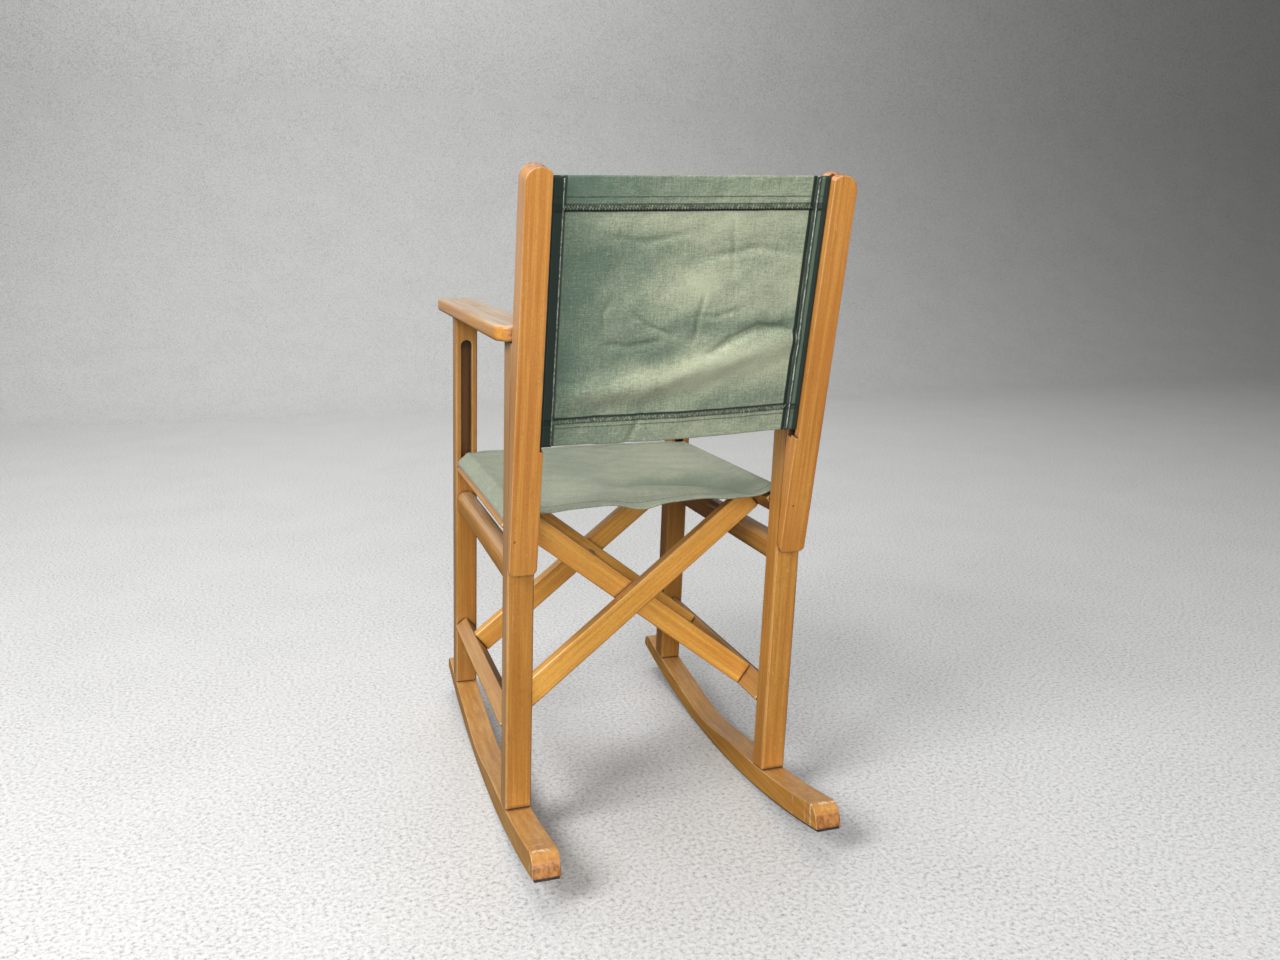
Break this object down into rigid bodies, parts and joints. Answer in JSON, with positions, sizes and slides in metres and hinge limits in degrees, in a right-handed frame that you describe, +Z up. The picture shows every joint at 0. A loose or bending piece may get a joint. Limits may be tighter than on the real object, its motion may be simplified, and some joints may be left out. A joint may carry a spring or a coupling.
{
  "type": "folding rocking director's chair",
  "caption": "child's folding director's chair on rockers: varnished wooden side frames, crossed folding leaves, sliding seat rails and a canvas seat and back",
  "frame": {"origin": "on the floor, in the middle of the rockers' length and of the chair's width", "axes": "+Z up, -Y the way the sitter faces, +X the sitter's left"},
  "size_m": [0.358, 0.557, 0.7091],
  "materials": {
    "beech": "worn honey varnish",
    "worn_beech": "varnish worn to bare wood",
    "canvas": "faded green cotton canvas",
    "strip": "matt black strip",
    "pivot_steel": "plated pin"
  },
  "bodies": {
    "left_side": {"left_rocker": "beech", "left_rocker_strip": "strip", "left_front_post": "beech", "left_rear_post": "beech", "left_upper_stretcher": "beech", "left_armrest": "worn_beech", "left_back_board": "beech", "left_back_rod": "beech", "left_lower_board_dowel": "beech", "left_upper_board_dowel": "beech", "back_canvas": "canvas"},
    "leaf_a": {"left_bottom_bar": "beech", "right_seat_rail": "beech", "right_seat_rod": "beech", "slat_a_front": "beech", "slat_a_rear": "beech", "rear_pivot_pin": "pivot_steel", "front_pivot_pin": "pivot_steel"},
    "leaf_b": {"right_bottom_bar": "beech", "left_seat_rail": "beech", "left_seat_rod": "beech", "slat_b_front": "beech", "slat_b_rear": "beech", "seat_canvas": "canvas"},
    "right_side": {"right_rocker": "beech", "right_rocker_strip": "strip", "right_front_post": "beech", "right_rear_post": "beech", "right_upper_stretcher": "beech", "right_armrest": "worn_beech", "right_back_board": "beech", "right_back_rod": "beech", "right_lower_board_dowel": "beech", "right_upper_board_dowel": "beech"}
  },
  "joints": [
    {"name": "fold", "type": "hinge", "parent": "left_side", "child": "leaf_a", "pos_m": [0.15, 0, 0.119], "axis": [0, 1, 0], "range_deg": [0, 40], "deforming": ["seat_canvas", "back_canvas"]},
    {"name": "cross", "type": "hinge", "parent": "leaf_a", "child": "leaf_b", "pos_m": [0, 0, 0.236], "axis": [0, 1, 0], "range_deg": [-80, 0]},
    {"name": "right_bar", "type": "hinge", "parent": "leaf_b", "child": "right_side", "pos_m": [-0.15, 0, 0.119], "axis": [0, 1, 0], "range_deg": [0, 40]}
  ],
  "couplings": [
    {"joint": "cross", "follows": "fold", "ratio": -2},
    {"joint": "right_bar", "follows": "fold", "ratio": 1}
  ]
}
